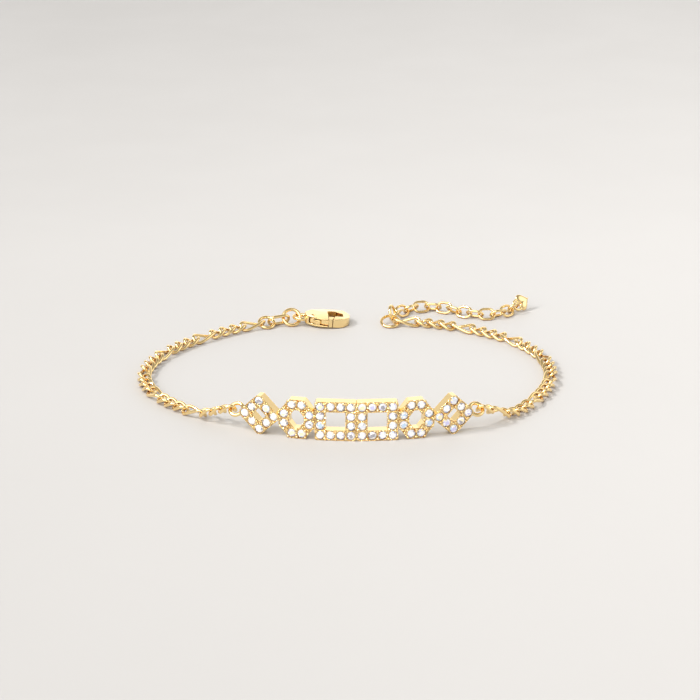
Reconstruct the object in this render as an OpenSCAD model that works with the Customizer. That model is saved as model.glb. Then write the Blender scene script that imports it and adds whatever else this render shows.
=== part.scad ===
// Nameplate bracelet lying on a table: six openwork blocks set with clear stones,
// two Figaro chains, a lobster clasp and an extender chain with a plain heart.
// Millimetres. The origin is at the middle of the nameplate's foot, the stones look
// along -Y, the clasp lies towards +Y and Z points up.

/* [Nameplate] */
// Radius of the curve that the blocks stand on, at the middle of their thickness
plate_radius = 32.5; // [24:0.5:60]
// Thickness of the blocks, front to back
plate_thick = 1.3; // [1.2:0.1:2.6]
// Width of each stroke of a block
stroke_w = 1.4; // [1.4:0.05:1.7]
// Height between two rows of stones
row_pitch = 1.27; // [1.24:0.01:1.45]
// Distance between two columns of stones
col_pitch = 1.3; // [1.26:0.01:1.45]
// Sideways step of the stones along a lozenge's edge
lozenge_step = 1; // [0.9:0.01:1.2]
// Sideways reach of an octagon's upright strokes from its middle
octagon_reach = 1.65; // [1.4:0.05:1.9]
// Depth to which neighbouring blocks are soldered into each other
solder_lap = 0.1; // [0.05:0.01:0.15]
// Radius of the blocks' rounded corners
corner_r = 0.3; // [0.1:0.05:0.5]

/* [Stones] */
// Girdle diameter of a stone
stone_d = 1.08; // [0.8:0.01:1.1]
// Diameter of a stone's table
table_d = 0.62; // [0.4:0.01:0.7]
// Height of a stone's crown
crown_h = 0.17; // [0.1:0.01:0.25]
// Depth of a stone's pavilion
pavilion_h = 0.46; // [0.3:0.01:0.6]
// Depth of the girdle below the blocks' front
girdle_drop = 0.08; // [0.02:0.01:0.15]
// Clearance between a stone and its seat
seat_gap = 0.03; // [0.02:0.01:0.05]
// Diameter of a setting grain
grain_d = 0.3; // [0.2:0.02:0.36]
// Height of a grain above the blocks' front
grain_h = 0.12; // [0.05:0.01:0.2]

/* [End eyelets] */
// Wire of the eyelet soldered to each end of the nameplate
eyelet_wire = 0.5; // [0.4:0.05:0.6]
// Inside diameter of that eyelet
eyelet_bore = 1.25; // [1.2:0.05:1.4]

/* [Figaro chain] */
// Wire of the chain links
link_wire = 0.43; // [0.38:0.01:0.44]
// Outside width of the chain links
link_w = 1.95; // [1.9:0.05:2.3]
// Outside length of a short link
short_l = 2.8; // [2.78:0.01:3.2]
// Outside length of a long link
long_l = 4.15; // [3.6:0.05:5]
// Twist of a link from its middle to its end
link_twist = 48; // [44:1:50]
// Free play between two linked pieces
link_play = 0.2; // [0.19:0.01:0.25]
// Run over which a chain comes down from its eyelet to the table
fall_run = 9.4; // [8.5:0.1:10.5]

/* [Clasp end] */
// Free play at the loose rings
ring_play = 0.31; // [0.28:0.01:0.34]
// Wire of the ring after the left chain
tail_ring_wire = 0.45; // [0.4:0.01:0.5]
// Outside diameter of that ring
tail_ring_d = 2.6; // [2.4:0.1:3.2]
// Outside length of the plain link between the two rings
tail_link_l = 3.4; // [2.8:0.1:3.6]
// Wire of the jump ring in the clasp's eye
clasp_ring_wire = 0.5; // [0.4:0.05:0.5]
// Outside diameter of that jump ring
clasp_ring_d = 2.9; // [2.8:0.1:3.4]

/* [Clasp] */
// Length of the clasp from the middle of its eye to its nose
clasp_l = 7; // [6.4:0.1:7.5]
// Width of the clasp across its body
clasp_w = 4.5; // [4.3:0.1:4.8]
// Thickness of the clasp at its middle
clasp_t = 1.6; // [1.5:0.1:1.8]
// Wall in front of the hook's opening
hook_wall = 0.85; // [0.7:0.05:0.95]
// Wall behind the hook's opening
spine_wall = 1.35; // [0.8:0.05:1.5]
// Wall between the hook's opening and the nose
nose_wall = 1; // [0.8:0.05:1.2]
// Length of the hook's opening
mouth_l = 2.2; // [2:0.1:2.4]
// Wire of the tail eye
eye_wire = 0.55; // [0.45:0.05:0.65]
// Bore of the tail eye
eye_bore = 1.35; // [1.2:0.05:1.5]
// Diameter of the lever's pin
pin_d = 0.5; // [0.4:0.05:0.5]
// Clearance round the pin
pin_gap = 0.03; // [0.02:0.01:0.05]
// Thickness of the lever inside the body
lever_t = 0.66; // [0.5:0.02:0.7]
// Width of the lever's arm
lever_arm_w = 0.7; // [0.6:0.05:0.8]
// Clearance of the lever in the body and at the hook
lever_gap = 0.1; // [0.06:0.01:0.12]
// Reach of the thumb catch in front of the body
catch_reach = 0.45; // [0.3:0.05:0.7]

/* [Extender] */
// Wire of the ring at the end of the right chain
joint_ring_wire = 0.43; // [0.4:0.01:0.46]
// Outside diameter of that ring
joint_ring_d = 2.95; // [2.85:0.05:3.4]
// Wire of the ring that carries the extender
extender_ring_wire = 0.45; // [0.4:0.01:0.5]
// Outside diameter of that ring
extender_ring_d = 2.7; // [2.6:0.1:3.2]
// Wire of the extender's oval links
oval_wire = 0.38; // [0.34:0.01:0.4]
// Outside length of an oval link
oval_l = 2.65; // [2.55:0.05:3]
// Outside width of an oval link
oval_w = 2; // [1.9:0.05:2.4]
// Number of oval links
oval_count = 12; // [6:1:16]

/* [End charm] */
// Wire of the ring that carries the heart
charm_ring_wire = 0.4; // [0.34:0.01:0.42]
// Outside diameter of that ring
charm_ring_d = 2.3; // [2.2:0.1:2.6]
// Width of the heart
heart_w = 2.5; // [2:0.1:3]
// Height of the heart
heart_h = 2.3; // [1.8:0.1:2.6]
// Thickness of the heart
heart_t = 0.7; // [0.5:0.05:0.9]
// Wire of the heart's eyelet
heart_eye_wire = 0.36; // [0.3:0.02:0.4]
// Bore of the heart's eyelet
heart_eye_bore = 1.1; // [1:0.05:1.2]

/* [Hidden] */
$fn = 48;
gold = [0.90, 0.70, 0.33];
clear_stone = [0.93, 0.95, 0.97];
// Sides of a chain link's wire, and points along each side of a short and a long link
wire_sides = 6;
short_steps = 1;
long_steps = 3;
// Degrees between two points of a link's end round
bend_step = 45;
// Sides of a ring's wire, and of wide rounds
ring_sides = 24;
wide_sides = 96;
// Steps of a rounded corner
corner_steps = 3;
// How far a cutting solid passes the surface it cuts
cut_margin = 1;

// Columns: share of the chain's run from its eyelet, heading in degrees from +X.
left_headings = [[0, 152], [0.1, 141], [0.2, 137], [0.28, 125], [0.39, 108], [0.51, 85],
    [0.63, 66], [0.73, 53], [0.82, 45], [0.9, 39], [1, 31]];
right_headings = [[0, 28], [0.08, 39], [0.16, 56], [0.3, 70], [0.4, 84], [0.5, 99],
    [0.6, 116], [0.7, 133], [0.8, 147], [0.88, 156], [0.95, 165], [1, 177]];
extender_headings = [[0, 62], [0.08, 52], [0.2, 31], [0.31, 4], [0.42, -22], [0.53, -37],
    [0.63, -33], [0.73, -16], [0.83, 7], [0.92, 28], [1, 47]];
left_links = 24;
right_links = 26;
// A long link comes after three short ones. Place of the first long link in each chain.
left_first_long = 3;
right_first_long = 1;
// Headings of the pieces after the left chain
tail_ring_heading = 16;
tail_link_heading = 17;
clasp_ring_heading = 8;
clasp_heading = 4;
joint_ring_heading = 178;
extender_ring_heading = 76;
// Roll of each ring and link about its own heading, from lying flat, and two slopes
eyelet_roll = 40;
first_link_roll = 12;
roll_step = 2;
tail_ring_roll = 26;
tail_link_roll = -60;
tail_link_slope = 4;
clasp_ring_roll = 50;
joint_ring_roll = -19;
extender_ring_roll = 74;
oval_roll = 45;
charm_ring_roll = -52;
heart_slope = 12;
heart_roll = 60;
// Room left under the chain links' lowest points
link_lift = 0.08;

// Nameplate values
stone_rows = 4;
plate_h = (stone_rows - 1) * row_pitch + stroke_w;
half_stroke = stroke_w / 2;
// Radius of the lozenges' cut tips and of the corners inside a block
small_r = 0.1;
top_row = (stone_rows - 1) * row_pitch;
square_half = 1.5 * col_pitch;
// Columns: shape, half of the distance between the outermost stones' middles.
blocks = [["lozenge", 2 * lozenge_step], ["octagon", octagon_reach], ["square", square_half],
    ["square", square_half], ["octagon", octagon_reach], ["lozenge", 2 * lozenge_step]];
function block_w(i) = 2 * blocks[i][1] + stroke_w;
function widths_before(i) = i == 0 ? 0 : widths_before(i - 1) + block_w(i - 1) - solder_lap;
plate_arc = widths_before(len(blocks) - 1) + block_w(len(blocks) - 1);
function block_arc(i) = widths_before(i) + block_w(i) / 2 - plate_arc / 2;
function arc_angle(arc) = arc / plate_radius * 180 / PI;

// Moves its children to a place along the nameplate's curve, facing outward.
module on_curve(arc) {
    a = arc_angle(arc);
    translate([plate_radius * sin(a), plate_radius * (1 - cos(a)), half_stroke])
        rotate([0, 0, a])
            children();
}

// Corners of a block's middle line as [x, z] from its lowest stones, counter-clockwise.
function block_corners(shape, half) =
    shape == "lozenge" ? [[0, 0], [half, top_row / 2], [0, top_row], [-half, top_row / 2]] :
    shape == "octagon" ? [[col_pitch / 2, 0], [half, row_pitch], [half, 2 * row_pitch],
        [col_pitch / 2, top_row], [-col_pitch / 2, top_row], [-half, 2 * row_pitch],
        [-half, row_pitch], [-col_pitch / 2, 0]] :
    [[half, 0], [half, top_row], [-half, top_row], [-half, 0]];

// Stones of a block as [x, z], in order round the block.
function side_stones(a, b, n) = [for (k = [0 : n - 1]) a + (b - a) * k / n];
function block_stones(shape, half) =
    let (c = block_corners(shape, half))
    [for (k = [0 : len(c) - 1])
        let (n = shape == "lozenge" ? 2 : shape == "octagon" ? 1 : 3)
        each side_stones(c[k], c[(k + 1) % len(c)], n)];

// Closed outline moved sideways by d, with sharp corners.
function unit(v) = v / norm(v);
function left_of(v) = [-v[1], v[0]];
function moved_corner(before, here, after, d) =
    let (n1 = -left_of(unit(here - before)), n2 = -left_of(unit(after - here)))
    here + (n1 + n2) * d / (1 + n1 * n2);
function moved_outline(c, d) =
    let (n = len(c))
    [for (k = [0 : n - 1]) moved_corner(c[(k + n - 1) % n], c[k], c[(k + 1) % n], d)];

// Closed outline with each corner cut to a short arc of radius r.
function arc_points(before, here, after, r) =
    let (u = unit(before - here), v = unit(after - here),
        half_angle = acos(max(-1, min(1, u * v))) / 2,
        reach = r / tan(half_angle),
        middle = here + unit(u + v) * r / sin(half_angle),
        start = here + u * reach - middle,
        finish = here + v * reach - middle)
    [for (t = [0 : 1 / corner_steps : 1]) middle + unit(start * (1 - t) + finish * t) * r];
function rounded_outline(c, r) =
    let (n = len(c))
    [for (k = [0 : n - 1]) each arc_points(c[(k + n - 1) % n], c[k], c[(k + 1) % n], r)];

// A lozenge's sharp tips end level with the other blocks' strokes.
function tip_cut(c, half) =
    let (m = moved_outline(c, half_stroke), slope = half / (top_row / 2),
        foot_half = (0 - half_stroke - m[0][1]) * slope,
        side_half = (m[1][0] - half - half_stroke) / slope,
        mid = top_row / 2, out = half + half_stroke, low = -half_stroke,
        high = top_row + half_stroke)
    [[foot_half, low], [out, mid - side_half], [out, mid + side_half], [foot_half, high],
        [-foot_half, high], [-out, mid + side_half], [-out, mid - side_half],
        [-foot_half, low]];
function outer_outline(shape, half) =
    let (c = block_corners(shape, half))
    shape == "lozenge" ? rounded_outline(tip_cut(c, half), small_r) :
    rounded_outline(moved_outline(c, half_stroke), corner_r);

module upright_slab(points, thick) {
    rotate([90, 0, 0])
        translate([0, 0, -thick / 2])
            linear_extrude(thick)
                polygon(points);
}

// Setting grains stand in pairs between neighbouring stones, one on each side of the row.
grain_inset = 0.06;
grain_root = 0.5;
grain_side = half_stroke - grain_d / 2 - grain_inset;
module grain_at(place) {
    translate([place[0], -plate_thick / 2 - grain_h, place[1]])
        rotate([-90, 0, 0])
            cylinder(h = grain_h + grain_root, d = grain_d);
}

module grains(stones) {
    n = len(stones);
    for (k = [0 : n - 1]) {
        here = stones[k];
        next = stones[(k + 1) % n];
        side = left_of(unit(next - here)) * grain_side;
        grain_at((here + next) / 2 + side);
        grain_at((here + next) / 2 - side);
    }
}

// A seat is a round recess down to the girdle and a cone that follows the pavilion.
seat_d = stone_d + 2 * seat_gap;
seat_cone = pavilion_h * seat_d / stone_d + seat_gap;
seat_tip_d = 0.1;
module seat_at(place) {
    translate([place[0], -plate_thick / 2 - grain_h - cut_margin, place[1]])
        rotate([-90, 0, 0]) {
            cylinder(h = grain_h + cut_margin + girdle_drop + seat_gap, d = seat_d);
            translate([0, 0, grain_h + cut_margin + girdle_drop + seat_gap])
                cylinder(h = seat_cone, d1 = seat_d, d2 = seat_tip_d);
        }
}

module block(i) {
    shape = blocks[i][0];
    half = blocks[i][1];
    stones = block_stones(shape, half);
    corners = block_corners(shape, half);
    difference() {
        union() {
            upright_slab(outer_outline(shape, half), plate_thick);
            grains(stones);
        }
        upright_slab(rounded_outline(moved_outline(corners, -half_stroke), small_r),
            plate_thick + cut_margin);
        for (place = stones)
            seat_at(place);
    }
}

eyelet_z = plate_h / 2;
// Depth to which an eyelet's wire is soldered into the end block
eyelet_sink = 0.37;
eyelet_out = eyelet_bore / 2 + eyelet_wire - eyelet_sink;
module ring(wire, outer_d) {
    rotate_extrude()
        translate([outer_d / 2 - wire / 2, 0])
            circle(d = wire, $fn = ring_sides);
}

// Moves its children to the middle of an end eyelet: side is -1 at the left, 1 at the right.
module at_eyelet(side) {
    on_curve(side * plate_arc / 2)
        translate([side * eyelet_out, 0, eyelet_z - half_stroke])
            rotate([eyelet_roll, 0, 0])
                children();
}

module nameplate() {
    color(gold) {
        for (i = [0 : len(blocks) - 1])
            on_curve(block_arc(i))
                block(i);
        for (side = [-1, 1])
            at_eyelet(side)
                ring(eyelet_wire, eyelet_bore + 2 * eyelet_wire);
    }
}

// A brilliant: an eight-sided table and crown over an eight-sided pavilion.
stone_sides = 8;
girdle_t = 0.03;
culet_d = 0.04;
module stone() {
    rotate([90, 0, 0]) {
        cylinder(h = crown_h, d1 = stone_d, d2 = table_d, $fn = stone_sides);
        translate([0, 0, -girdle_t])
            cylinder(h = girdle_t, d = stone_d, $fn = stone_sides);
        translate([0, 0, -girdle_t - pavilion_h])
            cylinder(h = pavilion_h, d1 = culet_d, d2 = stone_d, $fn = stone_sides);
    }
}

module pave_stones() {
    color(clear_stone)
        for (i = [0 : len(blocks) - 1])
            on_curve(block_arc(i))
                for (place = block_stones(blocks[i][0], blocks[i][1]))
                    translate([place[0], -plate_thick / 2 + girdle_drop, place[1]])
                        stone();
}

// Middle line of a flat link: a half round at each end and side_steps points on each side.
function flat_line(length, width, wire, side_steps) =
    let (round_r = (width - wire) / 2, side = (length - wire) / 2 - round_r)
    concat(
        [for (a = [-90 : bend_step : 90]) [side + round_r * cos(a), round_r * sin(a)]],
        [for (k = [1 : side_steps]) [side - 2 * side * k / (side_steps + 1), round_r]],
        [for (a = [90 : bend_step : 270]) [-side + round_r * cos(a), round_r * sin(a)]],
        [for (k = [1 : side_steps]) [-side + 2 * side * k / (side_steps + 1), -round_r]]);

// The same line twisted about the link's own length, up to twist at its ends.
function link_line(length, width, wire, side_steps, twist) =
    [for (p = flat_line(length, width, wire, side_steps))
        let (turn = twist * p[0] / ((length - wire) / 2))
        [p[0], p[1] * cos(turn), p[1] * sin(turn)]];

// Solid of one link: a ring of wire_sides points at each step, joined round the link.
module link(length, width, wire, side_steps, twist) {
    line = link_line(length, width, wire, side_steps, twist);
    steps = len(line);
    rings = [for (k = [0 : steps - 1])
        let (along = unit(line[(k + 1) % steps] - line[(k + steps - 1) % steps]),
            across = unit(cross(along, line[k])),
            up = cross(across, along))
        for (j = [0 : wire_sides - 1])
            let (a = 360 * j / wire_sides)
            line[k] + (across * sin(a) + up * cos(a)) * wire / 2];
    faces = [for (k = [0 : steps - 1]) for (j = [0 : wire_sides - 1])
        let (k2 = (k + 1) % steps, j2 = (j + 1) % wire_sides,
            a = k * wire_sides + j, b = k * wire_sides + j2,
            c = k2 * wire_sides + j2, d = k2 * wire_sides + j)
        each [[a, c, b], [a, d, c]]];
    polyhedron(points = rings, faces = faces);
}

// Chain route. Each link's record is [x, y, z, heading, slope].
short_in = short_l - 2 * link_wire;
long_in = long_l - 2 * link_wire;
link_rest = max([for (p = link_line(long_l, link_w, link_wire, long_steps, link_twist)) p[2]])
    + link_wire / 2 + link_lift;
function is_long(i, first) = (i - first) % 4 == 0;
function inside_of(i, first) = is_long(i, first) ? long_in : short_in;
function pitch_to(i, first) =
    i == 0 ? eyelet_bore / 2 + inside_of(0, first) / 2 - link_play :
    (inside_of(i - 1, first) + inside_of(i, first)) / 2 - link_play;
function chain_run(n, first, i = 0) = i >= n ? 0 : pitch_to(i, first) + chain_run(n, first, i + 1);

// A chain leaves its eyelet level, comes down on a smooth curve and ends level.
function fall_slope(s) =
    let (t = min(1, s / fall_run))
    -asin(12 * t * (1 - t) * (1 - t) * (eyelet_z - link_rest) / fall_run);
function advance(p, heading, slope, step) =
    p + step * [cos(heading) * cos(slope), sin(heading) * cos(slope), sin(slope)];
function chain_from(p, s, i, n, first, headings, run) =
    i >= n ? [] :
    let (step = pitch_to(i, first),
        half_way = s + step / 2,
        here = advance(p, lookup(half_way / run, headings), fall_slope(half_way), step),
        along = s + step)
    concat([[here[0], here[1], here[2], lookup(along / run, headings), fall_slope(along)]],
        chain_from(here, along, i + 1, n, first, headings, run));
function eyelet_middle(side) =
    let (a = arc_angle(side * plate_arc / 2))
    [plate_radius * sin(a) + side * eyelet_out * cos(a),
        plate_radius * (1 - cos(a)) + side * eyelet_out * sin(a), eyelet_z];
function chain_route(side, n, first, headings) =
    chain_from(eyelet_middle(side), 0, 0, n, first, headings, chain_run(n, first));
left_route = chain_route(-1, left_links, left_first_long, left_headings);
right_route = chain_route(1, right_links, right_first_long, right_headings);

module place_link(at, heading, slope, roll) {
    translate([at[0], at[1], at[2]])
        rotate([0, 0, heading])
            rotate([0, -slope, 0])
                rotate([roll, 0, 0])
                    children();
}

// Hand is 1 or -1: the chains are each other's mirror image.
module chain(route, first, hand) {
    for (i = [0 : len(route) - 1])
        place_link(route[i], route[i][3], route[i][4], hand * max(0, first_link_roll - i * roll_step))
            if (is_long(i, first))
                link(long_l, link_w, link_wire, long_steps, -hand * link_twist);
            else
                link(short_l, link_w, link_wire, short_steps, -hand * link_twist);
}

module chain_left() {
    color(gold) chain(left_route, left_first_long, 1);
}

module chain_right() {
    color(gold) chain(right_route, right_first_long, -1);
}

// Each piece after a chain lies one step further along its heading, at its own height.
function next_at(p, heading, step, z) =
    let (level = sqrt(step * step - (z - p[2]) * (z - p[2])))
    [p[0] + level * cos(heading), p[1] + level * sin(heading), z];
function rolled_height(outer_w, wire, roll) =
    (outer_w - wire) / 2 * abs(sin(roll)) + wire / 2;
function bore_r(outer_d, wire) = outer_d / 2 - wire;
left_end = left_route[left_links - 1];
left_end_in = inside_of(left_links - 1, left_first_long);
tail_ring_at = next_at(left_end, (left_end[3] + tail_ring_heading) / 2,
    left_end_in / 2 + bore_r(tail_ring_d, tail_ring_wire) - ring_play,
    rolled_height(tail_ring_d, tail_ring_wire, tail_ring_roll));
clasp_ring_z = rolled_height(clasp_ring_d, clasp_ring_wire, clasp_ring_roll);
tail_link_in = tail_link_l - 2 * tail_ring_wire;
tail_link_lift = 0.04;
tail_link_at = next_at(tail_ring_at, (tail_ring_heading + tail_link_heading) / 2,
    bore_r(tail_ring_d, tail_ring_wire) + tail_link_in / 2 - ring_play,
    rolled_height(link_w, tail_ring_wire, tail_link_roll) + tail_link_lift);
clasp_ring_at = next_at(tail_link_at, (tail_link_heading + clasp_ring_heading) / 2,
    tail_link_in / 2 + bore_r(clasp_ring_d, clasp_ring_wire) - ring_play, clasp_ring_z);

module rolled_ring(at, heading, roll, wire, outer_d) {
    place_link(at, heading, 0, roll)
        ring(wire, outer_d);
}

module tail_ring() {
    color(gold)
        rolled_ring(tail_ring_at, tail_ring_heading, tail_ring_roll, tail_ring_wire, tail_ring_d);
}

module tail_link() {
    color(gold)
        place_link(tail_link_at, tail_link_heading, tail_link_slope, tail_link_roll)
            link(tail_link_l, link_w, tail_ring_wire, short_steps, 0);
}

module clasp_ring() {
    color(gold)
        rolled_ring(clasp_ring_at, clasp_ring_heading, clasp_ring_roll, clasp_ring_wire,
            clasp_ring_d);
}

// Clasp in its own frame: eye at the origin, nose along +X, lever on the -Y side.
// The ring holds the eye up and the nose rests on the table, its middle at nose_z.
nose_z = 0.62;
clasp_slope = -asin((clasp_ring_z - nose_z) / clasp_l);
clasp_at = next_at(clasp_ring_at, (clasp_ring_heading + clasp_heading) / 2,
    bore_r(clasp_ring_d, clasp_ring_wire) + eye_bore / 2 - ring_play, clasp_ring_z);
// Columns: share of the clasp's length, share of half of its width.
clasp_shape = [[0.09, 0.3], [0.2, 0.58], [0.33, 0.85], [0.48, 0.98], [0.63, 1], [0.78, 0.93],
    [0.9, 0.7], [0.97, 0.4]];
clasp_half = clasp_w / 2;
// Rounds that crown the clasp across and along, and steps of its outline between two points
crown_r = 12;
nose_r = 22;
clasp_steps = 3;

// Smooth closed curve through a few points, with a fixed number of steps between two.
function curve_point(a, b, c, d, t) =
    0.5 * (2 * b + (c - a) * t + (2 * a - 5 * b + 4 * c - d) * t * t
        + (3 * b - a - 3 * c + d) * t * t * t);
function smooth_outline(p, steps) =
    let (n = len(p))
    [for (k = [0 : n - 1]) for (j = [0 : steps - 1])
        curve_point(p[(k + n - 1) % n], p[k], p[(k + 1) % n], p[(k + 2) % n], j / steps)];
clasp_points = concat(
    [for (row = clasp_shape) [row[0] * clasp_l, -row[1] * clasp_half]],
    [[clasp_l, 0]],
    [for (k = [len(clasp_shape) - 1 : -1 : 0])
        [clasp_shape[k][0] * clasp_l, clasp_shape[k][1] * clasp_half]]);

// Crowned blank of the clasp: its outline cut by wide rounds above, below, and along it.
module clasp_blank() {
    intersection() {
        translate([0, 0, -clasp_t / 2])
            linear_extrude(clasp_t)
                polygon(smooth_outline(clasp_points, clasp_steps));
        for_sides(crown_r)
            rotate([0, 90, 0])
                translate([0, 0, -cut_margin])
                    cylinder(h = clasp_l + 2 * cut_margin, r = crown_r, $fn = wide_sides);
        translate([clasp_l / 2, 0, 0])
            for_sides(nose_r)
                rotate([90, 0, 0])
                    translate([0, 0, -clasp_w])
                        cylinder(h = 2 * clasp_w, r = nose_r, $fn = wide_sides);
    }
}

// Lens between two copies of a round of radius r, one raised and one lowered.
module for_sides(r) {
    intersection() {
        translate([0, 0, clasp_t / 2 - r])
            children();
        translate([0, 0, r - clasp_t / 2])
            children();
    }
}

// Pin's place, and the metal round it in the lever
pin_x = 1.7;
pin_y = -0.9;
boss_wall = 0.25;
boss_d = pin_d + 2 * boss_wall;
pocket_t = lever_t + 2 * lever_gap;
pocket_lap = 0.2;
mouth_x = clasp_l - nose_wall - mouth_l;
mouth_w = clasp_w - hook_wall - spine_wall;
mouth_taper = 0.45;
mouth_bevel = 1;
mouth_r = 0.25;
// The lever's tip and the hook's end meet on an arc about the pin, gate_l into the mouth.
gate_l = 0.9;
gate_in = 0.8;
lever_reach = mouth_x - pin_x + gate_l;

module mouth_space() {
    translate([mouth_x, hook_wall - clasp_half, -clasp_t])
        linear_extrude(2 * clasp_t)
            polygon(rounded_outline([[0, 0], [mouth_l, mouth_taper],
                [mouth_l, mouth_w - mouth_taper], [mouth_l - mouth_bevel, mouth_w],
                [0, mouth_w]], mouth_r));
}

// Upright round about the pin's axis, through the whole clasp.
module about_pin(r) {
    translate([pin_x, pin_y, -clasp_t])
        cylinder(h = 2 * clasp_t, r = r, $fn = wide_sides);
}

// Room in the front wall where the lever's end closes the mouth.
module gate_space() {
    intersection() {
        about_pin(lever_reach + lever_gap);
        translate([mouth_x, -clasp_w, -clasp_t])
            cube([clasp_l, clasp_w - gate_in, 2 * clasp_t]);
    }
}

// Pocket for the lever inside the body, open to the front and to the mouth.
module pocket() {
    back = pin_x - boss_d / 2 - lever_gap;
    translate([back, -clasp_w, -pocket_t / 2])
        cube([mouth_x + pocket_lap - back, clasp_w + pin_y + boss_d / 2 + lever_gap, pocket_t]);
}

module at_clasp() {
    place_link(clasp_at, clasp_heading, clasp_slope, 0)
        children();
}

module clasp_body() {
    color(gold)
        at_clasp()
            difference() {
                union() {
                    clasp_blank();
                    ring(eye_wire, eye_bore + 2 * eye_wire);
                }
                translate([0, 0, -clasp_t])
                    cylinder(h = 2 * clasp_t, d = eye_bore);
                mouth_space();
                gate_space();
                pocket();
                about_pin(pin_d / 2 + pin_gap);
            }
}

// Lever seen from above: from its pin past the thumb catch into the mouth.
lever_inset = 0.12;
lever_front = -clasp_half + lever_inset;
lever_end = mouth_x + 0.3;
catch_x = pin_x + 0.45;
catch_l = 0.45;
catch_back_y = -1.55;
catch_front_y = -1.75;
lever_outline = [[pin_x, pin_y + lever_arm_w / 2], [pin_x - boss_wall, pin_y - boss_wall],
    [catch_x, catch_back_y - catch_reach], [catch_x + catch_l, catch_front_y - catch_reach],
    [catch_x + 1.5 * catch_l, catch_front_y], [lever_end, lever_front],
    [lever_end, lever_front + lever_arm_w]];

// Full-thickness tip that closes the mouth.
module lever_tip() {
    intersection() {
        clasp_blank();
        about_pin(lever_reach);
        translate([mouth_x + lever_gap, -clasp_w, -clasp_t])
            cube([clasp_l, clasp_w + lever_front + lever_arm_w, 2 * clasp_t]);
    }
}

module clasp_lever() {
    color(gold)
        at_clasp()
            difference() {
                union() {
                    translate([pin_x, pin_y, -lever_t / 2])
                        cylinder(h = lever_t, d = boss_d);
                    translate([0, 0, -lever_t / 2])
                        linear_extrude(lever_t)
                            polygon(lever_outline);
                    lever_tip();
                }
                about_pin(pin_d / 2 + pin_gap);
            }
}

// The pin ends inside the body, below the crowned faces.
pin_l = 1.2;
module clasp_pin() {
    color(gold)
        at_clasp()
            translate([pin_x, pin_y, -pin_l / 2])
                cylinder(h = pin_l, d = pin_d);
}

// Extender side
right_end = right_route[right_links - 1];
right_end_in = inside_of(right_links - 1, right_first_long);
joint_ring_at = next_at(right_end, (right_end[3] + joint_ring_heading) / 2,
    right_end_in / 2 + bore_r(joint_ring_d, joint_ring_wire) - ring_play,
    rolled_height(joint_ring_d, joint_ring_wire, joint_ring_roll));
extender_ring_at = next_at(joint_ring_at, extender_ring_heading,
    bore_r(joint_ring_d, joint_ring_wire) + bore_r(extender_ring_d, extender_ring_wire)
        - ring_play,
    rolled_height(extender_ring_d, extender_ring_wire, extender_ring_roll));
oval_in = oval_l - 2 * oval_wire;
oval_pitch = oval_in - link_play;
first_oval = next_at(extender_ring_at,
    (extender_ring_heading + lookup(0, extender_headings)) / 2,
    bore_r(extender_ring_d, extender_ring_wire) + oval_in / 2 - ring_play,
    rolled_height(oval_w, oval_wire, oval_roll));
function oval_from(p, i) =
    i >= oval_count ? [] :
    let (half_share = (i - 0.5) / (oval_count - 1),
        here = i == 0 ? p : advance(p, lookup(half_share, extender_headings), 0, oval_pitch))
    concat([[here[0], here[1], here[2], lookup(i / (oval_count - 1), extender_headings)]],
        oval_from(here, i + 1));
oval_route = oval_from(first_oval, 0);

module joint_ring() {
    color(gold)
        rolled_ring(joint_ring_at, joint_ring_heading, joint_ring_roll, joint_ring_wire,
            joint_ring_d);
}

module extender_ring() {
    color(gold)
        rolled_ring(extender_ring_at, extender_ring_heading, extender_ring_roll,
            extender_ring_wire, extender_ring_d);
}

module extender_chain() {
    color(gold)
        for (i = [0 : oval_count - 1])
            place_link(oval_route[i], oval_route[i][3], 0, i % 2 == 0 ? -oval_roll : oval_roll)
                link(oval_l, oval_w, oval_wire, short_steps, 0);
}

// End charm: a heart outline drawn as a sum of four waves, with its cleft at the origin and
// its tip along +X.
heart_waves = [13, -5, -2, -1];
heart_step = 10;
function heart_curve(t, k = 0) =
    k == len(heart_waves) ? 0 : heart_waves[k] * cos((k + 1) * t) + heart_curve(t, k + 1);
heart_turns = [for (t = [0 : heart_step : 360 - heart_step]) t];
heart_scale = heart_h / (max([for (t = heart_turns) heart_curve(t)]) - heart_curve(180));
heart_outline = [for (t = heart_turns)
    [(heart_curve(0) - heart_curve(t)) * heart_scale, pow(sin(t), 3) * heart_w / 2]];

// The heart's lower lobe or its eyelet rests on the table, whichever is lower.
heart_eye_sink = 0.18;
heart_eye_out = heart_eye_bore / 2 + heart_eye_wire - heart_eye_sink;
heart_down = -cos(heart_slope) * cos(heart_roll) * heart_t / 2
    + min([for (p = heart_outline)
        (p[0] + heart_eye_out) * sin(heart_slope) + p[1] * sin(heart_roll) * cos(heart_slope)]);
heart_eye_z = max(-heart_down,
    rolled_height(heart_eye_bore + 2 * heart_eye_wire, heart_eye_wire, heart_roll));
oval_end = oval_route[oval_count - 1];
charm_ring_heading = oval_end[3];
charm_ring_at = next_at(oval_end, charm_ring_heading,
    oval_in / 2 + bore_r(charm_ring_d, charm_ring_wire) - ring_play,
    rolled_height(charm_ring_d, charm_ring_wire, charm_ring_roll));
heart_eye_at = next_at(charm_ring_at, charm_ring_heading,
    bore_r(charm_ring_d, charm_ring_wire) + heart_eye_bore / 2 - ring_play, heart_eye_z);

module charm_ring() {
    color(gold)
        rolled_ring(charm_ring_at, charm_ring_heading, charm_ring_roll, charm_ring_wire,
            charm_ring_d);
}

module end_charm() {
    color(gold)
        place_link(heart_eye_at, charm_ring_heading, heart_slope, heart_roll) {
            ring(heart_eye_wire, heart_eye_bore + 2 * heart_eye_wire);
            translate([heart_eye_out, 0, -heart_t / 2])
                linear_extrude(heart_t)
                    polygon(heart_outline);
        }
}

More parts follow.
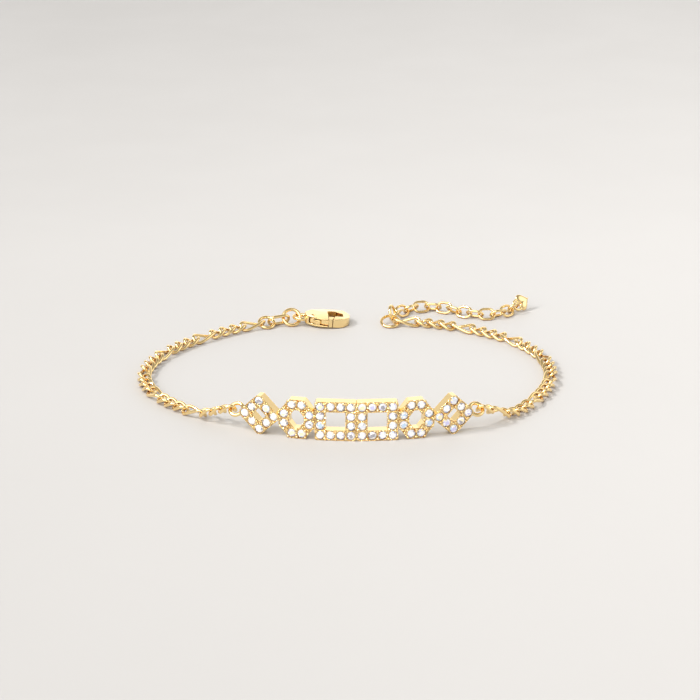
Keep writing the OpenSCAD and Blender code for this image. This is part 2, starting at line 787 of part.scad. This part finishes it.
nameplate();
pave_stones();
chain_left();
chain_right();
tail_ring();
tail_link();
clasp_ring();
clasp_body();
clasp_lever();
clasp_pin();
joint_ring();
extender_ring();
extender_chain();
charm_ring();
end_charm();
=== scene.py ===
import math
import random

import bmesh
import bpy
import numpy as np
from mathutils import Matrix, Vector


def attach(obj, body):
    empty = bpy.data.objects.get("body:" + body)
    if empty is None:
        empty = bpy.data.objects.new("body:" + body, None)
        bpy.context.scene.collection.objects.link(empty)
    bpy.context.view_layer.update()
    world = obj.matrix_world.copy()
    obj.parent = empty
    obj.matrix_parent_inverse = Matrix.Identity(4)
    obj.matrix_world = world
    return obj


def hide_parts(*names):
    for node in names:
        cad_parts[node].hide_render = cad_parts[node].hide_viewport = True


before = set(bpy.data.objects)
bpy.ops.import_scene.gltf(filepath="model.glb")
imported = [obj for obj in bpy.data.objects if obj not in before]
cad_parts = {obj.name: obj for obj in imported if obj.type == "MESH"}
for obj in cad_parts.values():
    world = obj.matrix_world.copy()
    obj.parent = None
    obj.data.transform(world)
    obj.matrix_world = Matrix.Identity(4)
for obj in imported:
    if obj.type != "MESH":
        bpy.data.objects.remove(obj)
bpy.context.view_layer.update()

MM = 0.001
random.seed(7)

# Camera: 16 degrees wide, 20 degrees above the table, aimed inside the loop
AIM = Vector((-0.82, 32.97, 0)) * MM
CAMERA_DISTANCE = 345.9 * MM
CAMERA_ELEVATION = math.radians(20)
CAMERA_WIDTH = math.radians(16)
SENSOR_WIDTH = 36
CLIP_NEAR = 0.01
CLIP_FAR = 20

# Sizes of the wire pieces, as in the frame
LINK_WIRE = 0.43 * MM
LINK_WIDTH = 1.95 * MM
SHORT_LINK = 2.8 * MM
LONG_LINK = 4.15 * MM
LINK_TWIST = math.radians(48)
TAIL_LINK = (3.4 * MM, 1.95 * MM, 0.45 * MM)
OVAL_LINK = (2.65 * MM, 2.0 * MM, 0.38 * MM)
WIRE_SIDES = 14
ROUND_STEPS = 12
SIDE_STEPS = 6


def camera():
    data = bpy.data.cameras.new("camera")
    data.sensor_width = SENSOR_WIDTH
    data.lens = SENSOR_WIDTH / 2 / math.tan(CAMERA_WIDTH / 2)
    data.clip_start = CLIP_NEAR
    data.clip_end = CLIP_FAR
    cam = bpy.data.objects.new("camera", data)
    bpy.context.scene.collection.objects.link(cam)
    back = Vector((0, -math.cos(CAMERA_ELEVATION), math.sin(CAMERA_ELEVATION)))
    cam.location = AIM + back * CAMERA_DISTANCE
    cam.rotation_euler = (-back).to_track_quat("-Z", "Y").to_euler()
    bpy.context.scene.camera = cam


camera()


# Materials: colours, and for noise the number of waves in a metre
# Painted shade: the first gold colour is painted into hollows and between touching parts, standing in for
# shade and gold-on-gold reflections; the second is the gold's own colour
GOLD_HOLLOW_SHADE = (0.55, 0.25, 0.07)
GOLD_OPEN = (0.985, 0.74, 0.36)
HOLLOW_SHADE_END = 0.25
OPEN_START = 0.8
HOLLOW_SAMPLES = 8
ROUND_SAMPLES = 6
TARNISH_SCALE = 900
TARNISH_LEAST = 0.95
POLISH_SCALE = 2600
RIPPLE_SCALE = 5200
RIPPLE_STRENGTH = 0.04
RIPPLE_DEPTH = 0.02 * MM
# Cut front of the plate: depth and size of its facets, half its reach, and where it fades out
CUT_DEPTH = 0.9 * MM
CUT_SCALE = 2800
CUT_HALF = 14.5 * MM
CUT_FADE = 0.1 * MM
FRONT_NORMAL_Y = (-0.8, -0.6)
# Clear stones: how finely facets are told apart, and the share at which each shade starts; the shades are
# painted glints, painted dark reflections and painted fire
FACET_STEP = 0.03
STONE_PAINTED_SPARKLE = [(0.0, (1.0, 1.0, 1.0)), (0.34, (0.78, 0.80, 0.88)), (0.5, (0.34, 0.33, 0.37)),
                (0.62, (0.97, 0.98, 1.0)), (0.78, (0.62, 0.60, 0.92)), (0.85, (1.0, 0.88, 0.55)),
                (0.92, (0.52, 0.70, 0.93))]
STONE_ROUGH = 0.04
STONE_IOR = 2.15
# Table: two tints, and the light share and place of each of its painted shades, which stand in for the
# light's falloff over the board
TABLE_TINTS = [(0.3, (0.614, 0.604, 0.594)), (0.7, (0.626, 0.616, 0.606))]
TABLE_SCALE = 14
TABLE_GRAIN = 60
TABLE_ROUGH = (0.55, 0.65)
TABLE_SPECULAR = 0.2
ACROSS_SHADE = (0.89, 1.04, -0.06, 0.06)
DEEP_SHADE = (1.0, 0.8, 0.08, 0.27)
NEAR_SHADE = (0.95, 1.0, -0.1, 0.0)


def new_material(name):
    mat = bpy.data.materials.new(name)
    mat.use_nodes = True
    tree = mat.node_tree
    return mat, tree, tree.nodes["Principled BSDF"]


def noise(tree, scale, detail=2.0):
    coords = tree.nodes.new("ShaderNodeTexCoord")
    tex = tree.nodes.new("ShaderNodeTexNoise")
    tex.inputs["Scale"].default_value = scale
    tex.inputs["Detail"].default_value = detail
    tree.links.new(coords.outputs["Object"], tex.inputs["Vector"])
    return tex.outputs["Fac"]


def ranged(tree, value, low, high, start=0.3, end=0.7):
    node = tree.nodes.new("ShaderNodeMapRange")
    node.inputs["From Min"].default_value = start
    node.inputs["From Max"].default_value = end
    node.inputs["To Min"].default_value = low
    node.inputs["To Max"].default_value = high
    tree.links.new(value, node.inputs["Value"])
    return node.outputs["Result"]


def ramp(tree, value, stops, change="LINEAR"):
    node = tree.nodes.new("ShaderNodeValToRGB")
    node.color_ramp.interpolation = change
    elements = node.color_ramp.elements
    while len(elements) < len(stops):
        elements.new(0.5)
    for element, (place, colour) in zip(elements, stops):
        element.position = place
        element.color = (*colour, 1)
    tree.links.new(value, node.inputs["Fac"])
    return node.outputs["Color"]


def product(tree, first, second):
    node = tree.nodes.new("ShaderNodeMath")
    node.operation = "MULTIPLY"
    tree.links.new(first, node.inputs[0])
    tree.links.new(second, node.inputs[1])
    return node.outputs["Value"]


def scaled(tree, colour, share):
    node = tree.nodes.new("ShaderNodeVectorMath")
    node.operation = "SCALE"
    tree.links.new(colour, node.inputs[0])
    tree.links.new(share, node.inputs["Scale"])
    return node.outputs["Vector"]


def bump(tree, shader, value, strength, depth, round_r=None):
    """Bumps in the normal, over edges that look rounded to round_r where that is given."""
    node = tree.nodes.new("ShaderNodeBump")
    if round_r:
        edge = tree.nodes.new("ShaderNodeBevel")
        edge.samples = ROUND_SAMPLES
        edge.inputs["Radius"].default_value = round_r
        tree.links.new(edge.outputs["Normal"], node.inputs["Normal"])
    node.inputs["Strength"].default_value = strength
    node.inputs["Distance"].default_value = depth
    tree.links.new(value, node.inputs["Height"])
    tree.links.new(node.outputs["Normal"], shader.inputs["Normal"])


def gold(name, rough_low, rough_high, reach, round_r, cut=0.0):
    """Polished gold with painted shade: darker and deeper orange in hollows as wide as reach, where shade and
    reflections between gold surfaces fall.
    With cut, the depth of its small facets, the front of the plate looks cut all over between the stones."""
    mat, tree, shader = new_material(name)
    # Painted shade: ambient occlusion darkens the base colour in hollows, where shade falls
    hollow_shade = tree.nodes.new("ShaderNodeAmbientOcclusion")
    hollow_shade.samples = HOLLOW_SAMPLES
    hollow_shade.inputs["Distance"].default_value = reach
    tint = ramp(tree, hollow_shade.outputs["AO"], [(HOLLOW_SHADE_END, GOLD_HOLLOW_SHADE), (OPEN_START, GOLD_OPEN)])
    tarnish = ranged(tree, noise(tree, TARNISH_SCALE, 3.0), TARNISH_LEAST, 1.0)
    tree.links.new(scaled(tree, tint, tarnish), shader.inputs["Base Color"])
    shader.inputs["Metallic"].default_value = 1.0
    rough = ranged(tree, noise(tree, POLISH_SCALE, 4.0), rough_low, rough_high)
    tree.links.new(rough, shader.inputs["Roughness"])
    if cut:
        place = tree.nodes.new("ShaderNodeNewGeometry")
        split = tree.nodes.new("ShaderNodeSeparateXYZ")
        tree.links.new(place.outputs["True Normal"], split.inputs["Vector"])
        front = ranged(tree, split.outputs["Y"], 1.0, 0.0, *FRONT_NORMAL_Y)
        aside = tree.nodes.new("ShaderNodeMath")
        aside.operation = "ABSOLUTE"
        tree.links.new(split_place(tree, "Object")["X"], aside.inputs[0])
        inner = ranged(tree, aside.outputs["Value"], 1.0, 0.0, CUT_HALF - CUT_FADE, CUT_HALF)
        cuts = product(tree, product(tree, front, inner), noise(tree, CUT_SCALE, 1.0))
        bump(tree, shader, cuts, 1.0, cut, round_r)
    else:
        bump(tree, shader, noise(tree, RIPPLE_SCALE, 3.0), RIPPLE_STRENGTH, RIPPLE_DEPTH, round_r)
    return mat


def stone_material():
    """Facets with painted sparkle, each with a painted colour of its own: mostly white as painted glints,
    some grey as painted dark reflections, a few tinted as painted fire.
    """
    mat, tree, shader = new_material("clear_stone")
    place = tree.nodes.new("ShaderNodeNewGeometry")
    facet = tree.nodes.new("ShaderNodeVectorMath")
    facet.operation = "SNAP"
    facet.inputs[1].default_value = (FACET_STEP, FACET_STEP, FACET_STEP)
    tree.links.new(place.outputs["True Normal"], facet.inputs[0])
    apart = tree.nodes.new("ShaderNodeVectorMath")
    apart.operation = "ADD"
    tree.links.new(facet.outputs["Vector"], apart.inputs[0])
    tree.links.new(place.outputs["Random Per Island"], apart.inputs[1])
    # Painted sparkle: each facet picks a white, grey or tinted colour standing in for glints, dark
    # reflections and fire
    pick = tree.nodes.new("ShaderNodeTexWhiteNoise")
    tree.links.new(apart.outputs["Vector"], pick.inputs["Vector"])
    painted_light = ramp(tree, pick.outputs["Value"], STONE_PAINTED_SPARKLE, "CONSTANT")
    tree.links.new(painted_light, shader.inputs["Base Color"])
    shader.inputs["Roughness"].default_value = STONE_ROUGH
    shader.inputs["IOR"].default_value = STONE_IOR
    return mat


def split_place(tree, output):
    """X, Y and Z of the object's own place, or of a direction in the sky."""
    coords = tree.nodes.new("ShaderNodeTexCoord")
    split = tree.nodes.new("ShaderNodeSeparateXYZ")
    tree.links.new(coords.outputs[output], split.inputs["Vector"])
    return split.outputs


def table_material():
    """Pale matt board with painted shade: a little darker at the left, at the front and towards the back,
    standing in for the light's falloff.
    """
    mat, tree, shader = new_material("table_top")
    tint = ramp(tree, noise(tree, TABLE_SCALE, 3.0), TABLE_TINTS)
    place = split_place(tree, "Object")
    # Painted shade: the board's colour is darkened by place, standing in for the light's falloff at the left,
    # front and back
    across = ranged(tree, place["X"], *ACROSS_SHADE)
    deep = ranged(tree, place["Y"], *DEEP_SHADE)
    near = ranged(tree, place["Y"], *NEAR_SHADE)
    painted_light = product(tree, product(tree, across, deep), near)
    tree.links.new(scaled(tree, tint, painted_light), shader.inputs["Base Color"])
    rough = ranged(tree, noise(tree, TABLE_GRAIN, 3.0), *TABLE_ROUGH)
    tree.links.new(rough, shader.inputs["Roughness"])
    shader.inputs["Specular IOR Level"].default_value = TABLE_SPECULAR
    return mat


GOLD_PLATE = gold("gold_plate", 0.08, 0.15, 0.22 * MM, 0.09 * MM, cut=CUT_DEPTH)
GOLD_BEAD = gold("gold_bead", 0.05, 0.1, 0.22 * MM, None)
GOLD_CLASP = gold("gold_clasp", 0.08, 0.16, 0.3 * MM, 0.15 * MM)
GOLD_WIRE = gold("gold_wire", 0.06, 0.12, 0.4 * MM, None)
STONE = stone_material()


# Mesh helpers
def add_object(name, mesh, material, smooth=True):
    obj = bpy.data.objects.new(name, mesh)
    bpy.context.scene.collection.objects.link(obj)
    mesh.materials.append(material)
    mesh.polygons.foreach_set("use_smooth", [smooth] * len(mesh.polygons))
    return obj


def mesh_from(name, points, faces):
    mesh = bpy.data.meshes.new(name)
    mesh.from_pydata([tuple(p) for p in points], [], faces)
    mesh.validate()
    mesh.update()
    return mesh


def islands(node):
    """Vertex places of each loose solid of a frame node, one array for each."""
    work = bmesh.new()
    work.from_mesh(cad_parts[node].data)
    bmesh.ops.remove_doubles(work, verts=work.verts, dist=1e-7)
    found = []
    seen = set()
    for start in work.verts:
        if start.index in seen:
            continue
        seen.add(start.index)
        group, queue = [], [start]
        while queue:
            vert = queue.pop()
            group.append(vert.co[:])
            for edge in vert.link_edges:
                other = edge.other_vert(vert)
                if other.index not in seen:
                    seen.add(other.index)
                    queue.append(other)
        found.append(np.array(group))
    work.free()
    return found


def own_axes(points):
    """Middle of a solid and its own axes, longest first, as a right-handed matrix."""
    middle = points.mean(axis=0)
    values, vectors = np.linalg.eigh(np.cov((points - middle).T))
    x = vectors[:, 2]
    y = vectors[:, 1]
    return middle, np.column_stack([x, y, np.cross(x, y)])


def extent(points, middle, axis):
    along = (points - middle) @ axis
    return along.min(), along.max()


def link_line(length, width, wire, twist):
    """Middle line of a link: two half rounds and two sides, twisted about its length."""
    bend = (width - wire) / 2
    half = (length - wire) / 2
    side = half - bend
    flat = []
    for k in range(ROUND_STEPS + 1):
        a = -math.pi / 2 + math.pi * k / ROUND_STEPS
        flat.append((side + bend * math.cos(a), bend * math.sin(a)))
    for k in range(1, SIDE_STEPS):
        flat.append((side - 2 * side * k / SIDE_STEPS, bend))
    for k in range(ROUND_STEPS + 1):
        a = math.pi / 2 + math.pi * k / ROUND_STEPS
        flat.append((-side + bend * math.cos(a), bend * math.sin(a)))
    for k in range(1, SIDE_STEPS):
        flat.append((-side + 2 * side * k / SIDE_STEPS, -bend))
    flat = np.array(flat)
    turn = twist * flat[:, 0] / half
    return np.column_stack([flat[:, 0], flat[:, 1] * np.cos(turn), flat[:, 1] * np.sin(turn)])


def closed_tube(line, wire, sides):
    """Round wire along a closed line round the origin: points and faces."""
    along = np.roll(line, -1, axis=0) - np.roll(line, 1, axis=0)
    along /= np.linalg.norm(along, axis=1)[:, None]
    across = np.cross(along, line)
    across /= np.linalg.norm(across, axis=1)[:, None]
    up = np.cross(across, along)
    points = []
    for k in range(len(line)):
        for j in range(sides):
            a = 2 * math.pi * j / sides
            points.append(line[k] + (across[k] * math.sin(a) + up[k] * math.cos(a)) * wire / 2)
    faces = []
    for k in range(len(line)):
        after = (k + 1) % len(line)
        for j in range(sides):
            beside = (j + 1) % sides
            faces.append((k * sides + j, after * sides + j, after * sides + beside, k * sides + beside))
    return np.array(points), faces


def circle_line(outer, wire, steps=56):
    turn = np.arange(steps) * 2 * math.pi / steps
    reach = (outer - wire) / 2
    return np.column_stack([reach * np.cos(turn), reach * np.sin(turn), 0 * turn])


class Heap:
    """Collects solids for one mesh."""

    def __init__(self):
        self.points = []
        self.faces = []

    def add(self, points, faces):
        start = len(self.points)
        self.points.extend(points)
        self.faces.extend([tuple(start + i for i in face) for face in faces])

    def piece(self, name, material, body, node, smooth=True):
        obj = add_object(name, mesh_from(name, self.points, self.faces), material, smooth)
        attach(obj, body)
        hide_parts(node)
        return obj


def wire_chain(node, shapes, twist):
    """Replaces a chain node: each loose link gets the round wire of the shape it is nearest to."""
    heap = Heap()
    lines = [(length, closed_tube(link_line(length, width, wire, twist), wire, WIRE_SIDES))
             for length, width, wire in shapes]
    for solid in islands(node):
        middle, axes = own_axes(solid)
        low, high = extent(solid, middle, axes[:, 0])
        points, faces = min(lines, key=lambda row: abs(row[0] - (high - low)))[1]
        heap.add(points @ axes.T + middle, faces)
    heap.piece(node + "_wire", GOLD_WIRE, "bracelet", node)


def wire_ring(node):
    """Replaces a jump ring: the same ring, finely round, with its closed seam."""
    heap = Heap()
    solid = islands(node)[0]
    middle, axes = own_axes(solid)
    middle = middle + axes @ [sum(extent(solid, middle, axes[:, k])) / 2 for k in range(3)]
    wire = 2 * extent(solid, middle, axes[:, 2])[1]
    outer = 2 * np.linalg.norm(solid - middle, axis=1).max()
    points, faces = closed_tube(circle_line(outer, wire), wire, WIRE_SIDES)
    heap.add(points @ axes.T + middle, faces)
    heap.piece(node + "_wire", GOLD_WIRE, "bracelet", node)


figaro = [(SHORT_LINK, LINK_WIDTH, LINK_WIRE), (LONG_LINK, LINK_WIDTH, LINK_WIRE)]
wire_chain("chain_left", figaro, -LINK_TWIST)
wire_chain("chain_right", figaro, LINK_TWIST)
wire_chain("extender_chain", [OVAL_LINK], 0)
wire_chain("tail_link", [TAIL_LINK], 0)
for ring_node in ("tail_ring", "clasp_ring", "joint_ring", "extender_ring", "charm_ring"):
    wire_ring(ring_node)


# Brilliant-cut stones
STONE_R = 0.54 * MM
TABLE_R = 0.31 * MM
CROWN_H = 0.17 * MM
GIRDLE_T = 0.03 * MM
PAVILION_H = 0.46 * MM
STAR_R = 0.43 * MM
LOWER_R = 0.15 * MM


def polar(radius, turn, z):
    return (radius * math.cos(turn), radius * math.sin(turn), z)


def brilliant():
    """One stone with its table upward along +Z and its girdle's upper edge at z 0."""
    eighth = math.pi / 4
    main = math.cos(eighth / 2)
    star_z = CROWN_H * (STONE_R - STAR_R * main) / (STONE_R - TABLE_R)
    lower_z = -GIRDLE_T - PAVILION_H * (STONE_R - LOWER_R * main) / STONE_R
    points = [polar(TABLE_R, k * eighth, CROWN_H) for k in range(8)]
    points += [polar(STAR_R, (k + 0.5) * eighth, star_z) for k in range(8)]
    points += [polar(STONE_R, k * eighth / 2, 0) for k in range(16)]
    points += [polar(STONE_R, k * eighth / 2, -GIRDLE_T) for k in range(16)]
    points += [polar(LOWER_R, (k + 0.5) * eighth, lower_z) for k in range(8)]
    points.append((0, 0, -GIRDLE_T - PAVILION_H))
    table, star, upper, lower, low, culet = 0, 8, 16, 32, 48, 56
    faces = [tuple(range(8))]
    for k in range(8):
        after, before = (k + 1) % 8, (k - 1) % 8
        here, mid, there = 2 * k, 2 * k + 1, (2 * k + 2) % 16
        faces += [(table + k, star + k, table + after),
                  (table + k, star + before, upper + here, star + k),
                  (star + k, upper + here, upper + mid),
                  (star + k, upper + mid, upper + there),
                  (upper + here, lower + here, lower + mid, upper + mid),
                  (upper + mid, lower + mid, lower + there, upper + there),
                  (low + k, lower + mid, lower + here),
                  (low + k, lower + there, lower + mid),
                  (culet, low + k, lower + here, low + before)]
    return np.array(points), faces


def stones():
    heap = Heap()
    points, faces = brilliant()
    for solid in islands("pave_stones"):
        middle = solid.mean(axis=0)
        values, vectors = np.linalg.eigh(np.cov((solid - middle).T))
        odd = 0 if values[1] - values[0] > values[2] - values[1] else 2
        axis = vectors[:, odd]
        if axis[1] > 0:
            axis = -axis
        table = middle + axis * extent(solid, middle, axis)[1]
        turn = random.uniform(0, math.pi / 4)
        side = np.cross([0, 0, 1], axis)
        side /= np.linalg.norm(side)
        up = np.cross(axis, side)
        axes = np.column_stack([side * math.cos(turn) + up * math.sin(turn),
                                up * math.cos(turn) - side * math.sin(turn), axis])
        heap.add((points - [0, 0, CROWN_H]) @ axes.T + table, faces)
    heap.piece("brilliants", STONE, "bracelet", "pave_stones", smooth=False)


stones()


# Setting beads: a pair between neighbouring stones, over the grains of the plate, and one at free corners
PLATE_RADIUS = 32.5 * MM
PLATE_THICK = 1.3 * MM
BLOCK_WIDTHS = (5.4 * MM, 4.7 * MM, 5.3 * MM, 5.3 * MM, 4.7 * MM, 5.4 * MM)
BLOCK_LAP = 0.1 * MM
PLATE_HALF = (sum(BLOCK_WIDTHS) - BLOCK_LAP * (len(BLOCK_WIDTHS) - 1)) / 2
PLATE_H = 5.2 * MM
NEIGHBOUR = 1.6 * MM
BEAD_SIDE = 0.46 * MM
BEAD_APART = 0.42 * MM
BEAD_R = 0.19 * MM
BEAD_SINK = 0.02 * MM
BEAD_TURNS = 10
BEAD_RINGS = 4


def dome():
    """Upper half of a bead with its top along +Z."""
    points, faces = [], []
    for ring in range(BEAD_RINGS):
        low = math.pi / 2 * ring / BEAD_RINGS
        for k in range(BEAD_TURNS):
            points.append(polar(BEAD_R * math.cos(low), 2 * math.pi * k / BEAD_TURNS, BEAD_R * math.sin(low)))
    points.append((0, 0, BEAD_R))
    top = len(points) - 1
    for ring in range(BEAD_RINGS - 1):
        for k in range(BEAD_TURNS):
            here, beside = ring * BEAD_TURNS + k, ring * BEAD_TURNS + (k + 1) % BEAD_TURNS
            faces.append((here, beside, beside + BEAD_TURNS, here + BEAD_TURNS))
    last = (BEAD_RINGS - 1) * BEAD_TURNS
    for k in range(BEAD_TURNS):
        faces.append((last + k, last + (k + 1) % BEAD_TURNS, top))
    faces.append(tuple(range(BEAD_TURNS - 1, -1, -1)))
    return np.array(points), faces


def block_of(arc):
    """Index of the block at a distance along the plate's curve from its middle."""
    edge = -PLATE_HALF
    for index, width in enumerate(BLOCK_WIDTHS):
        edge += width - BLOCK_LAP
        if arc < edge:
            return index
    return len(BLOCK_WIDTHS) - 1


def on_plate(place):
    arc, z = place
    return abs(arc) < PLATE_HALF - BEAD_R and BEAD_R < z < PLATE_H - BEAD_R


def beads():
    heap = Heap()
    points, faces = dome()
    flat = []
    for solid in islands("pave_stones"):
        x, y, z = solid.mean(axis=0)
        arc = PLATE_RADIUS * math.atan2(x, PLATE_RADIUS - y)
        flat.append((block_of(arc), np.array([arc, z])))
    between, ends = [], []
    for block, here in flat:
        for other, there in flat:
            gap = np.linalg.norm(there - here)
            if other != block or gap == 0 or gap > NEIGHBOUR:
                continue
            along = (there - here) / gap
            across = np.array([-along[1], along[0]])
            for side in (-BEAD_SIDE, BEAD_SIDE):
                between.append((here + there) / 2 + side * across)
                ends.append(here - BEAD_SIDE * along + side * across)
    kept = []
    for place in between + ends:
        if on_plate(place) and all(np.linalg.norm(place - other) > BEAD_APART for other in kept):
            kept.append(place)
    for arc, z in kept:
        turn = arc / PLATE_RADIUS
        away = PLATE_RADIUS + PLATE_THICK / 2 - BEAD_SINK
        middle = [away * math.sin(turn), PLATE_RADIUS - away * math.cos(turn), z]
        axes = np.array([[math.cos(turn), 0, math.sin(turn)],
                         [math.sin(turn), 0, -math.cos(turn)],
                         [0, 1, 0]])
        heap.add(points @ axes.T + middle, faces)
    obj = add_object("setting_beads", mesh_from("setting_beads", heap.points, heap.faces), GOLD_BEAD)
    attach(obj, "bracelet")


beads()


# Frame nodes that keep their own mesh
EDGE_WIDTH = 0.04 * MM
EDGE_SEGMENTS = 2
EDGE_ANGLE = math.radians(40)


def soft_edges(node, material):
    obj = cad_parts[node]
    obj.data.materials.clear()
    obj.data.materials.append(material)
    edge = obj.modifiers.new("edge", "BEVEL")
    edge.width = EDGE_WIDTH
    edge.segments = EDGE_SEGMENTS
    edge.limit_method = "ANGLE"
    edge.angle_limit = EDGE_ANGLE
    edge.harden_normals = False
    even = obj.modifiers.new("even", "WEIGHTED_NORMAL")
    even.keep_sharp = True


soft_edges("nameplate", GOLD_PLATE)
for clasp_node in ("clasp_body", "clasp_lever", "clasp_pin"):
    soft_edges(clasp_node, GOLD_CLASP)


# Puffed heart over the flat one, turned by the same heading, slope and roll
HEART_WAVES = (13, -5, -2, -1)
HEART_W = 2.5 * MM
HEART_H = 2.3 * MM
HEART_T = 0.7 * MM
HEART_EYE_WIRE = 0.36 * MM
HEART_EYE_BORE = 1.1 * MM
HEART_EYE_OUT = 0.73 * MM
HEART_HEADING = math.radians(47)
HEART_SLOPE = math.radians(12)
HEART_ROLL = math.radians(60)
HEART_TURNS = 72
PUFF_RINGS = 9
PUFF_MIDDLE = 0.46
PUFF_POWER = 0.8


def heart_curve(t):
    return sum(wave * math.cos((k + 1) * t) for k, wave in enumerate(HEART_WAVES))


def heart_line():
    turns = [2 * math.pi * k / HEART_TURNS for k in range(HEART_TURNS)]
    scale = HEART_H / (max(heart_curve(t) for t in turns) - heart_curve(math.pi))
    return np.array([((heart_curve(0) - heart_curve(t)) * scale, math.sin(t) ** 3 * HEART_W / 2)
                     for t in turns])


def puffed_heart():
    """Rings of the outline, drawn in towards its middle as they rise to each side."""
    line = heart_line()
    middle = np.array([PUFF_MIDDLE * line[:, 0].max(), 0])
    points, faces = [], []
    for ring in range(2 * PUFF_RINGS + 1):
        rise = math.pi / 2 * (ring - PUFF_RINGS) / (PUFF_RINGS + 1)
        share = math.cos(rise) ** PUFF_POWER
        for x, y in middle + (line - middle) * share:
            points.append((x + HEART_EYE_OUT, y, HEART_T / 2 * math.sin(rise)))
    for ring in range(2 * PUFF_RINGS):
        for k in range(HEART_TURNS):
            here, beside = ring * HEART_TURNS + k, ring * HEART_TURNS + (k + 1) % HEART_TURNS
            faces.append((here, beside, beside + HEART_TURNS, here + HEART_TURNS))
    for side, first in ((-1, 0), (1, 2 * PUFF_RINGS * HEART_TURNS)):
        points.append((middle[0] + HEART_EYE_OUT, 0, side * HEART_T / 2))
        for k in range(HEART_TURNS):
            edge = (first + k, first + (k + 1) % HEART_TURNS, len(points) - 1)
            faces.append(edge if side > 0 else edge[::-1])
    return np.array(points), faces


def end_charm():
    solid = islands("end_charm")[0]
    middle = solid.mean(axis=0)
    axes = np.array(Matrix.Rotation(HEART_HEADING, 3, "Z") @ Matrix.Rotation(-HEART_SLOPE, 3, "Y")
                    @ Matrix.Rotation(HEART_ROLL, 3, "X"))
    low = extent(solid, middle, axes[:, 0])[0] + HEART_EYE_BORE / 2 + HEART_EYE_WIRE
    eye = middle + axes @ [low, *(sum(extent(solid, middle, axes[:, k])) / 2 for k in (1, 2))]
    eye_line = circle_line(HEART_EYE_BORE + 2 * HEART_EYE_WIRE, HEART_EYE_WIRE)
    heap = Heap()
    for points, faces in (puffed_heart(), closed_tube(eye_line, HEART_EYE_WIRE, WIRE_SIDES)):
        heap.add(points @ axes.T + eye, faces)
    heap.piece("puffed_heart", GOLD_WIRE, "bracelet", "end_charm")


end_charm()


# Table, light and sky
TABLE_HALF = 1.6


def table_top():
    corners = [(x * TABLE_HALF, y * TABLE_HALF, 0) for x, y in ((-1, -1), (1, -1), (1, 1), (-1, 1))]
    mesh = mesh_from("table_top", corners, [(0, 1, 2, 3)])
    add_object("table_top", mesh, table_material(), smooth=False)


# Azimuth and elevation of each soft box, where its full light ends, where it fades out, its light
SOFT_BOXES = [(-35, 42, 20, 38, 2.8), (180, 8, 22, 55, 0.95), (84, 28, 12, 28, 1.25)]
# Light of the room at the level of the table, and from ROOM_TOP up
ROOM_LOW = 0.64
ROOM_HIGH = 0.38
ROOM_TOP = 0.8
ROOM_COLOUR = (1.0, 0.985, 0.965, 1)
LIT_POINT = Vector((0, 25, 0)) * MM


def toward(azimuth, elevation):
    """Direction in the room: azimuth is counted from the camera's side, positive to the right."""
    a, e = math.radians(azimuth), math.radians(elevation)
    return Vector((math.sin(a) * math.cos(e), -math.cos(a) * math.cos(e), math.sin(e)))


def area_light(name, azimuth, elevation, distance, size, power, colour):
    data = bpy.data.lights.new(name, "AREA")
    data.shape = "DISK"
    data.size = size
    data.energy = power
    data.color = colour
    lamp = bpy.data.objects.new(name, data)
    bpy.context.scene.collection.objects.link(lamp)
    away = toward(azimuth, elevation)
    lamp.location = LIT_POINT + away * distance
    lamp.rotation_euler = away.to_track_quat("Z", "Y").to_euler()


def sky():
    """Dim room with three soft boxes: front left, low behind the bracelet, and right."""
    world = bpy.data.worlds.new("studio")
    bpy.context.scene.world = world
    world.use_nodes = True
    tree = world.node_tree
    back = tree.nodes["Background"]
    back.inputs["Color"].default_value = ROOM_COLOUR
    look = tree.nodes.new("ShaderNodeTexCoord").outputs["Generated"]
    total = ranged(tree, split_place(tree, "Generated")["Z"], ROOM_LOW, ROOM_HIGH, 0.0, ROOM_TOP)
    for azimuth, elevation, inner, outer, strength in SOFT_BOXES:
        dot = tree.nodes.new("ShaderNodeVectorMath")
        dot.operation = "DOT_PRODUCT"
        dot.inputs[1].default_value = toward(azimuth, elevation)
        tree.links.new(look, dot.inputs[0])
        low, high = math.cos(math.radians(outer)), math.cos(math.radians(inner))
        lit = ranged(tree, dot.outputs["Value"], 0.0, strength, low, high)
        plus = tree.nodes.new("ShaderNodeMath")
        tree.links.new(lit, plus.inputs[0])
        tree.links.new(total, plus.inputs[1])
        total = plus.outputs["Value"]
    tree.links.new(total, back.inputs["Strength"])


table_top()
area_light("key", azimuth=-76, elevation=46, distance=1.6, size=0.32, power=12.5, colour=(1.0, 0.97, 0.93))
sky()
bpy.context.scene.view_settings.view_transform = "Standard"
